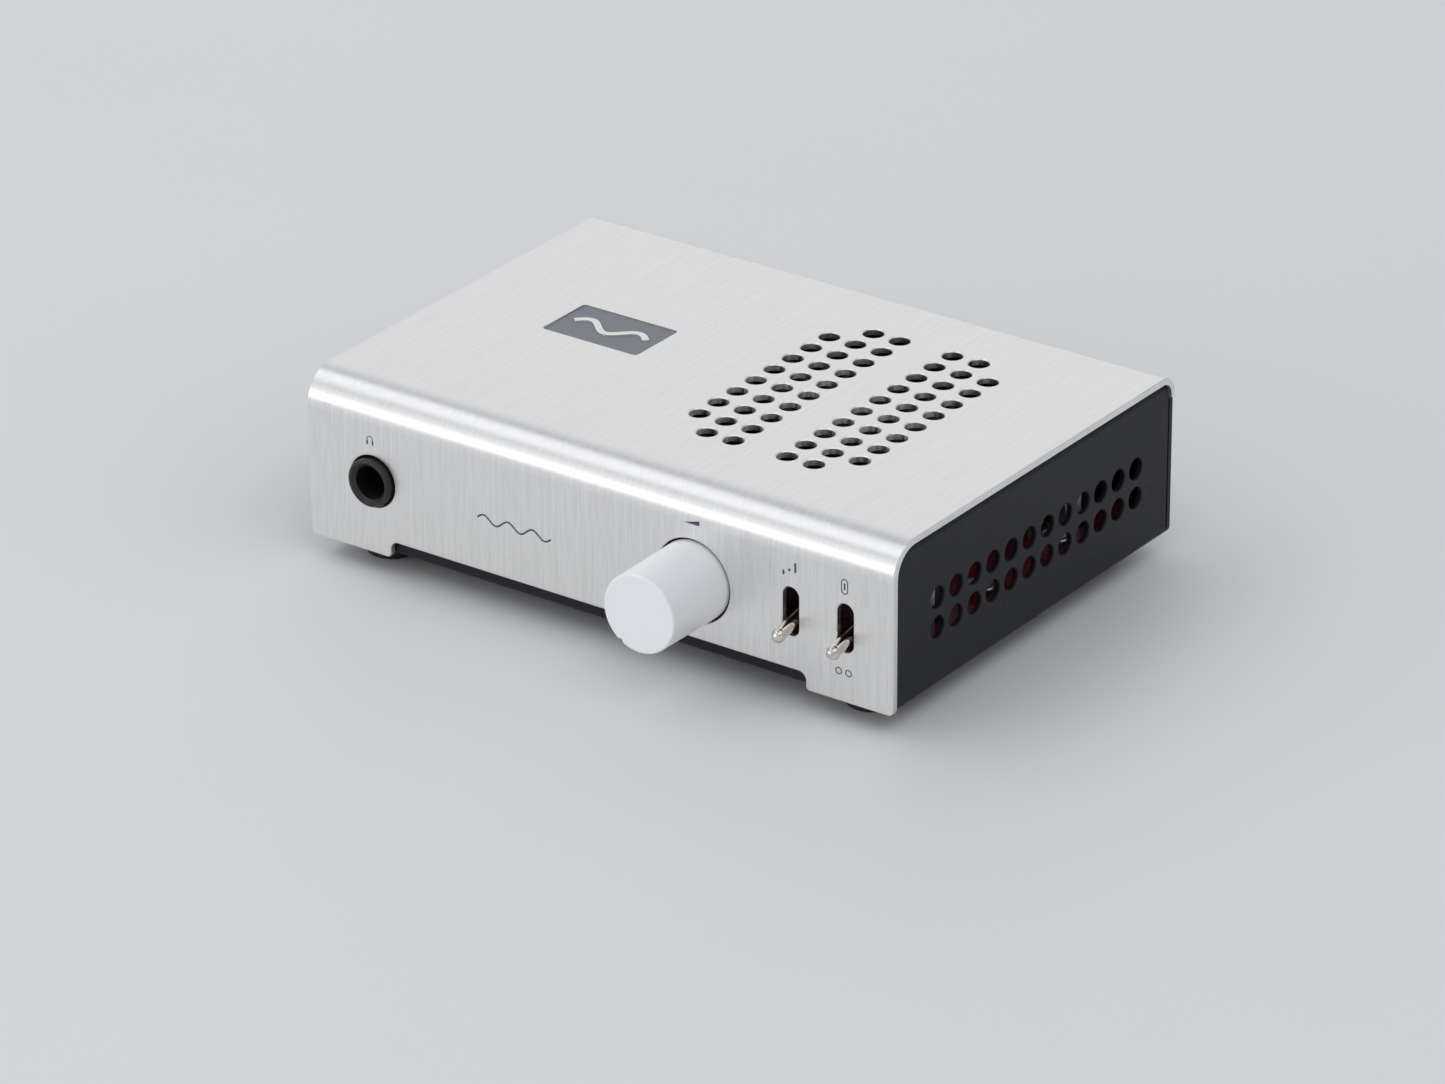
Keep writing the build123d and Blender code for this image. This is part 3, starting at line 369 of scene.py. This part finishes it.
def pale_floor():
    """Plain pale studio floor, very slightly mottled."""
    s = Surface("pale_floor", (0.85, 0.85, 0.845), roughness=0.55)
    cloud = s.noise(0.01, detail=3.0)
    s.color(s.mix(cloud, (0.835, 0.835, 0.83), (0.865, 0.865, 0.86)))
    s.rough(s.ramp(cloud, 0.5, 0.6))
    return s.material


black_moulding = moulded("black_moulding", (0.008, 0.008, 0.009), (0.017, 0.017, 0.018), 0.32, 0.46)
satin_nickel = metal("satin_nickel", (0.64, 0.62, 0.58), (0.74, 0.71, 0.66), 0.22, 0.30, 3.0, 0.0005)
polished_nickel = metal("polished_nickel", (0.62, 0.575, 0.51), (0.80, 0.755, 0.69), 0.07, 0.16, 6.0, 0.0006)
zinc = metal("zinc_plate", (0.50, 0.52, 0.54), (0.68, 0.69, 0.70), 0.26, 0.42, 2.0, 0.004)
gold = metal("contact_gold", (0.66, 0.46, 0.17), (0.86, 0.66, 0.30), 0.16, 0.30)
black_oxide = metal("black_oxide", (0.018, 0.018, 0.02), (0.05, 0.05, 0.055), 0.32, 0.5, 4.0, 0.006)
anodised = metal("black_anodised", (0.016, 0.016, 0.018), (0.04, 0.04, 0.044), 0.34, 0.48, 4.0, 0.004)
turned = metal("turned_aluminium", (0.62, 0.62, 0.63), (0.78, 0.78, 0.78), 0.22, 0.36)
solder = metal("solder", (0.48, 0.48, 0.49), (0.70, 0.70, 0.70), 0.2, 0.4, 3.0, 0.01)
epoxy = moulded("black_epoxy", (0.012, 0.012, 0.013), (0.026, 0.026, 0.028), 0.42, 0.6, 6.0, 0.012)
rubber = moulded("foot_rubber", (0.012, 0.012, 0.012), (0.022, 0.022, 0.022), 0.62, 0.8, 4.0, 0.02)
cream = moulded("relay_cream", (0.66, 0.64, 0.55), (0.76, 0.74, 0.66), 0.35, 0.5)
film_red = moulded("film_red", (0.36, 0.03, 0.015), (0.50, 0.05, 0.025), 0.3, 0.42)
carbon = moulded("carbon_track", (0.02, 0.016, 0.012), (0.045, 0.035, 0.028), 0.4, 0.55)
ceramic = moulded("chip_ceramic", (0.30, 0.22, 0.14), (0.42, 0.31, 0.20), 0.35, 0.5)
slate_ink = ink("slate_ink", (0.045, 0.055, 0.095), (0.075, 0.085, 0.135))
badge_ink = ink("badge_ink", (0.19, 0.197, 0.22), (0.25, 0.255, 0.28))
pale_ink = ink("pale_ink", (0.42, 0.43, 0.45), (0.56, 0.57, 0.58))

FINISH = {
    "brushed_cover": brushed_cover(), "dark_steel": charcoal_paint(), "foot_rubber": rubber,
    "zinc_steel": zinc, "black_screw": black_oxide, "red_board": board_mask(),
    "black_plastic": black_moulding, "contact_metal": gold, "nickel_plate": satin_nickel,
    "polished_nickel": polished_nickel, "resistive_track": carbon, "turned_aluminium": turned,
    "knob_finish": knob_finish(), "black_anodised": anodised, "capacitor_sleeve": sleeve(),
    "relay_case": cream, "film_case": film_red, "chip_plastic": epoxy,
}
WHITE = (0.78, 0.77, 0.73)
RED = (0.55, 0.012, 0.012)


def finish_nodes():
    """Every CAD node gets the material of its slot."""
    for part in frame["record"]["subparts"]:
        node = part["node"]
        slot = part["material_slot"]
        if slot == "socket_insert":
            material = two_tone(node, node, WHITE, RED)
        else:
            material = FINISH[slot]
        mesh = NODES[node].data
        mesh.materials.clear()
        mesh.materials.append(material)


# ---------------------------------------------------------------- flat printed shapes
FRONT = Matrix(((1, 0, 0, 0), (0, 0, -1, front_y / MM), (0, 1, 0, 0), (0, 0, 0, 1)))
REAR = Matrix(((-1, 0, 0, 0), (0, 0, 1, rear_y / MM), (0, 1, 0, 0), (0, 0, 0, 1)))


def flat_piece(name, loops, side, material, thickness=INK_THICKNESS, middle=INK_PROUD / 4):
    """Thin shape cut to closed loops in millimetres on a side of the case; nested loops are holes."""
    data = bpy.data.curves.new(name, "CURVE")
    data.dimensions = "2D"
    data.fill_mode = "BOTH"
    data.extrude = thickness / 2
    for loop in loops:
        spline = data.splines.new("POLY")
        spline.points.add(len(loop) - 1)
        for point, (u, v) in zip(spline.points, loop):
            point.co = (u, v, 0, 1)
        spline.use_cyclic_u = True
    outline = bpy.data.objects.new(name + "_outline", data)
    mesh = bpy.data.meshes.new_from_object(outline)
    bpy.data.objects.remove(outline)
    mesh.transform(Matrix.Scale(MM, 4) @ side @ Matrix.Translation((0, 0, middle)))
    mesh.materials.clear()
    mesh.materials.append(material)
    ride_case(name, mesh)


def ride_case(name, mesh):
    """New piece riding on the case."""
    piece = bpy.data.objects.new(name, mesh)
    bpy.context.scene.collection.objects.link(piece)
    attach(piece, "case")


def arc(u, v, radius, start=0.0, end=360.0, steps=28):
    """Points along an arc in degrees; a full turn leaves out its repeated end."""
    last = steps if abs(end - start) >= 360 else steps - 1
    turns = [radians(start + (end - start) * step / last) for step in range(steps)]
    return [(u + radius * cos(turn), v + radius * sin(turn)) for turn in turns]


def stroke(points, width, closed=False):
    """Outline of a line of even width: one loop, or two round a closed line."""
    left = []
    right = []
    count = len(points)
    for index, (u, v) in enumerate(points):
        before = points[index - 1] if closed or index else points[index]
        after = points[(index + 1) % count] if closed or index + 1 < count else points[index]
        turn = atan2(after[1] - before[1], after[0] - before[0])
        shift = (-sin(turn) * width / 2, cos(turn) * width / 2)
        left.append((u + shift[0], v + shift[1]))
        right.append((u - shift[0], v - shift[1]))
    return [left, right] if closed else [left + right[::-1]]


def capsule(u, v, width, height):
    """Upright round-ended outline."""
    radius = width / 2
    reach = height / 2 - radius
    return arc(u, v + reach, radius, 0, 180, 14) + arc(u, v - reach, radius, 180, 360, 14)


def bar(u, v, width, height):
    """Upright rectangle."""
    return [(u - width / 2, v - height / 2), (u + width / 2, v - height / 2),
            (u + width / 2, v + height / 2), (u - width / 2, v + height / 2)]


def wave(u, v, length, height, periods, steps=60):
    """Points along a sine trace centred on u and v."""
    shares = [step / steps for step in range(steps + 1)]
    return [(u + (share - 0.5) * length, v + height / 2 * sin(2 * pi * periods * share))
            for share in shares]


def arrow(u, v, length, width, head):
    """Outline of an arrow along +u, or along -u when length is negative."""
    way = 1 if length > 0 else -1
    tip = u + length / 2
    neck = tip - way * head
    tail = u - length / 2
    return [(tail, v - width / 2), (neck, v - width / 2), (neck, v - head / 2), (tip, v),
            (neck, v + head / 2), (neck, v + width / 2), (tail, v + width / 2)]


def front_marks():
    """Small symbols over the controls and a sine trace between the socket and the knob."""
    z = control_z / MM
    u = jack_x / MM + HEADPHONE_MARK[0]
    v = z + HEADPHONE_MARK[1]
    foot = v - HEADBAND_DROP
    band = [(u + CUP_X, foot)] + arc(u, v, CUP_X, 0, 180) + [(u - CUP_X, foot)]
    cups = [capsule(u + side * CUP_X, v - CUP_DROP, *CUP_SIZE) for side in (-1, 1)]
    flat_piece("headphone_mark", stroke(band, HEADBAND_LINE), FRONT, slate_ink)
    flat_piece("headphone_cups", cups, FRONT, slate_ink, middle=INK_PROUD / 2)
    u = knob_x / MM + VOLUME_MARK[0]
    v = z + VOLUME_MARK[1]
    wedge = [(u - WEDGE_HALF, v), (u + WEDGE_HALF, v), (u + WEDGE_HALF, v + WEDGE_HEIGHT)]
    flat_piece("volume_mark", [wedge], FRONT, slate_ink)
    u = gain_x / MM
    steps = [capsule(u + right, z + up, width, height) for right, up, width, height in GAIN_STEPS]
    flat_piece("gain_mark", steps, FRONT, slate_ink)
    u = input_x / MM + USB_MARK[0]
    v = z + USB_MARK[1]
    ring = stroke(capsule(u, v, *USB_CAPSULE), USB_LINE, True)
    flat_piece("usb_mark", ring + [capsule(u, v, *USB_BAR)], FRONT, slate_ink)
    u = input_x / MM + PHONO_MARK[0]
    v = z + PHONO_MARK[1]
    rings = [loop for side in (-1, 1)
             for loop in stroke(arc(u + side * PHONO_RING_X, v, PHONO_RING), PHONO_LINE, True)]
    flat_piece("phono_mark", rings, FRONT, slate_ink)
    line = wave(TRACE_PLACE[0], z + TRACE_PLACE[1], *TRACE_SIZE, TRACE_PERIODS)
    flat_piece("front_trace", stroke(line, TRACE_LINE), FRONT, slate_ink)


def badge_fill():
    """Slate enamel on the floor of the recess in the top, round its raised trace."""
    length, width, depth = BADGE_SIZE
    u = cover_low.x / MM + BADGE_LEFT + length / 2
    v = front_y / MM + BADGE_FRONT + width / 2
    half_u = length / 2 - BADGE_CORNER - BADGE_GAP
    half_v = width / 2 - BADGE_CORNER - BADGE_GAP
    corners = ((1, 1, 0), (-1, 1, 90), (-1, -1, 180), (1, -1, 270))
    edge = [point for across, up, start in corners
            for point in arc(u + across * half_u, v + up * half_v, BADGE_CORNER, start, start + 90, 8)]
    line = wave(u, v, length - 4 * BADGE_LINE, BADGE_WAVE, BADGE_PERIODS)
    hole = stroke(line, BADGE_LINE + 2 * BADGE_GAP)
    floor = Matrix.Translation((0, 0, top_z / MM - depth))
    flat_piece("badge_fill", [edge] + hole, floor, badge_ink, BADGE_FILL, BADGE_MIDDLE)


def middle_of(node):
    """Middle of a node in millimetres."""
    low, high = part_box(node)
    return [value / MM for value in (low + high) / 2]


def rear_marks():
    """Generic symbols over the rear sockets: arrows in and out, a capsule, a ring and a bar, a wave."""
    over = REAR_MARK_OFFSET
    length, shaft, head = REAR_ARROW
    for name, way in (("input", 1), ("preout", -1)):
        x, _, z = middle_of(f"{name}_socket_shells")
        shapes = [arrow(-x, z + over, way * length, shaft, head),
                  bar(-x + way * REAR_BAR_X, z + over, *REAR_BAR)]
        flat_piece(f"rear_{name}_mark", shapes, REAR, pale_ink)
    x, _, z = middle_of("usb_shell")
    shapes = stroke(capsule(-x, z + over, *USB_CAPSULE), REAR_USB_LINE, True)
    shapes.append(capsule(-x, z + over, *REAR_USB_BAR))
    flat_piece("rear_usb_mark", shapes, REAR, pale_ink)
    x, _, z = middle_of("power_switch_bushing")
    flat_piece("rear_on_mark", [bar(-x, z + over, *REAR_ON_BAR)], REAR, pale_ink)
    ring = stroke(arc(-x, z - over, REAR_OFF_RING), REAR_OFF_LINE, True)
    flat_piece("rear_off_mark", ring, REAR, pale_ink)
    x, _, z = middle_of("power_inlet_pin")
    line = wave(-x, z + over, *REAR_INLET_WAVE, 1)
    flat_piece("rear_inlet_mark", stroke(line, REAR_INLET_LINE), REAR, pale_ink)


# ---------------------------------------------------------------- small parts on the board
def cuboid(mesh, low, high, bevel):
    """Bevelled box added to a bmesh, in millimetres."""
    made = bmesh.ops.create_cube(mesh, size=1.0)["verts"]
    for vert in made:
        vert.co = Vector(((low[axis] + high[axis]) / 2 + vert.co[axis] * (high[axis] - low[axis])
                          for axis in range(3)))
    edges = list({edge for vert in made for edge in vert.link_edges})
    bmesh.ops.bevel(mesh, geom=edges, offset=bevel, segments=2, profile=0.5, affect="EDGES")


def solid_piece(name, boxes, bevel, material):
    """One piece made of many bevelled boxes."""
    shape = bmesh.new()
    for low, high in boxes:
        cuboid(shape, low, high, bevel)
    bmesh.ops.scale(shape, vec=(MM, MM, MM), verts=shape.verts)
    mesh = bpy.data.meshes.new(name)
    shape.to_mesh(mesh)
    shape.free()
    mesh.materials.append(material)
    ride_case(name, mesh)


def free_spots():
    """Grid places on the board that are clear of every part standing on it."""
    around = ("top_cover", "chassis", "main_board", "rubber_feet", "cover_screws")
    margin = SPOT_MARGIN
    taken = []
    for node in NODES:
        if node in around or node in POST_NODES:
            continue
        low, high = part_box(node)
        taken.append((low.x / MM - margin, high.x / MM + margin, low.y / MM - margin, high.y / MM + margin))
    for x, y in post_places():
        taken.append((x - POST_REACH, x + POST_REACH, y - POST_REACH, y + POST_REACH))
    spots = []
    rim = margin + BOARD_RIM
    y = board_low.y / MM + rim
    while y < board_high.y / MM - rim:
        x = board_low.x / MM + rim
        while x < board_high.x / MM - rim:
            if not any(a < x < b and c < y < d for a, b, c, d in taken):
                spots.append((x, y))
            x += SPOT_STEP
        y += SPOT_STEP
    return spots


def post_places():
    """Middles of the posts and screws that pass the board, found from their solids."""
    places = []
    for node in POST_NODES:
        for vert in NODES[node].data.vertices:
            x, y = vert.co.x / MM, vert.co.y / MM
            if not any(abs(x - a) < POST_APART and abs(y - b) < POST_APART for a, b in places):
                places.append((x, y))
    return places


def surface_parts():
    """Chip resistors and capacitors with tinned ends, laid out by a seeded draw."""
    draw = random.Random(SPOT_SEED)
    z = board_top / MM
    bodies = {"resistor": [], "ceramic": []}
    ends = []
    for x, y in free_spots():
        if draw.random() < SPOT_SHARE_EMPTY:
            continue
        kind = draw.choice(("resistor", "ceramic"))
        length, width, height = RESISTOR if kind == "resistor" else CERAMIC
        turned_way = draw.random() < 0.5
        half = (width / 2, length / 2) if turned_way else (length / 2, width / 2)
        bodies[kind].append(((x - half[0], y - half[1], z), (x + half[0], y + half[1], z + height)))
        for side in (-1, 1):
            shift = side * (length / 2 - END_INSET)
            cx, cy = (x, y + shift) if turned_way else (x + shift, y)
            wide = width / 2 + END_PROUD
            cap = (wide, END_HALF) if turned_way else (END_HALF, wide)
            top = z + height + END_PROUD
            ends.append(((cx - cap[0], cy - cap[1], z), (cx + cap[0], cy + cap[1], top)))
    solid_piece("board_resistors", bodies["resistor"], 0.05, epoxy)
    solid_piece("board_ceramics", bodies["ceramic"], 0.08, ceramic)
    solid_piece("board_solder_ends", ends, 0.05, solder)


def chip_legs():
    """Gull-wing legs of the amplifier chips and the converter."""
    legs = []
    z = board_top / MM
    low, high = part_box("amplifier_chips")
    for chip in range(CHIP_COUNT):
        left = low.x / MM + chip * CHIP_STEP
        for leg in range(CHIP_LEGS):
            x = left + CHIP_LEG_FIRST + leg * CHIP_LEG_PITCH
            legs += leg_boxes(x, low.y / MM, -1, z) + leg_boxes(x, high.y / MM, 1, z)
    low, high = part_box("usb_converter")
    for leg in range(CONVERTER_LEGS):
        x = low.x / MM + (1 + leg) * CONVERTER_LEG_PITCH
        legs += leg_boxes(x, low.y / MM, -1, z) + leg_boxes(x, high.y / MM, 1, z)
    solid_piece("chip_legs", legs, 0.03, solder)


def leg_boxes(x, y, out, z):
    """Shoulder, drop and foot of one leg that leaves a chip's side at y."""
    pieces = []
    for span, low, high in LEG_SPANS:
        near, far = sorted(y + out * reach for reach in span)
        pieces.append(((x - LEG_HALF_WIDTH, near, z + low), (x + LEG_HALF_WIDTH, far, z + high)))
    return pieces


# ---------------------------------------------------------------- stage, in metres
FLOOR_HALF = 4.0
ROOM_GLOW = 0.56
ROOM_TINT = (0.92, 0.95, 1.0, 1.0)


def make_floor():
    """Large plain floor under the feet."""
    shape = bmesh.new()
    bmesh.ops.create_grid(shape, x_segments=4, y_segments=4, size=FLOOR_HALF)
    mesh = bpy.data.meshes.new("floor")
    shape.to_mesh(mesh)
    shape.free()
    mesh.materials.append(pale_floor())
    floor = bpy.data.objects.new("floor", mesh)
    bpy.context.scene.collection.objects.link(floor)


def softbox(name, direction, distance, size, glow, color=(1.0, 1.0, 1.0)):
    """Rectangular light of even radiance glow, turned to the middle of the case."""
    toward = Vector(direction).normalized()
    aim = Vector((0, 0, control_z))
    data = bpy.data.lights.new(name, "AREA")
    data.shape = "RECTANGLE"
    data.size, data.size_y = size
    data.energy = glow * pi * size[0] * size[1]
    data.color = color
    lamp = bpy.data.objects.new(name, data)
    lamp.location = aim + toward * distance
    lamp.rotation_euler = toward.to_track_quat("Z", "Y").to_euler()
    bpy.context.scene.collection.objects.link(lamp)


def make_light():
    """Soft boxes at the back left, high left, high right and front in a pale grey room."""
    world = bpy.data.worlds.new("studio")
    world.use_nodes = True
    background = world.node_tree.nodes["Background"]
    background.inputs["Color"].default_value = ROOM_TINT
    background.inputs["Strength"].default_value = ROOM_GLOW
    bpy.context.scene.world = world
    softbox("back_left_box", (-0.526, 0.731, 0.436), 1.7, (2.0, 1.3), 0.34, (1.0, 0.985, 0.96))
    softbox("high_left_box", (-0.50, -0.26, 0.82), 1.5, (1.4, 0.5), 1.0)
    softbox("front_left_box", (-0.55, -0.83, 0.16), 1.6, (1.6, 0.5), 1.35)
    softbox("high_right_box", (0.48, -0.26, 0.84), 1.5, (1.4, 0.5), 1.0)
    softbox("front_fill_box", (-0.35, -0.77, 0.47), 1.7, (1.7, 0.6), 0.5)
    bpy.context.scene.view_settings.view_transform = "Standard"


# ---------------------------------------------------------------- the scene
finish_nodes()
front_marks()
badge_fill()
rear_marks()
surface_parts()
chip_legs()
make_floor()
make_light()
make_camera()
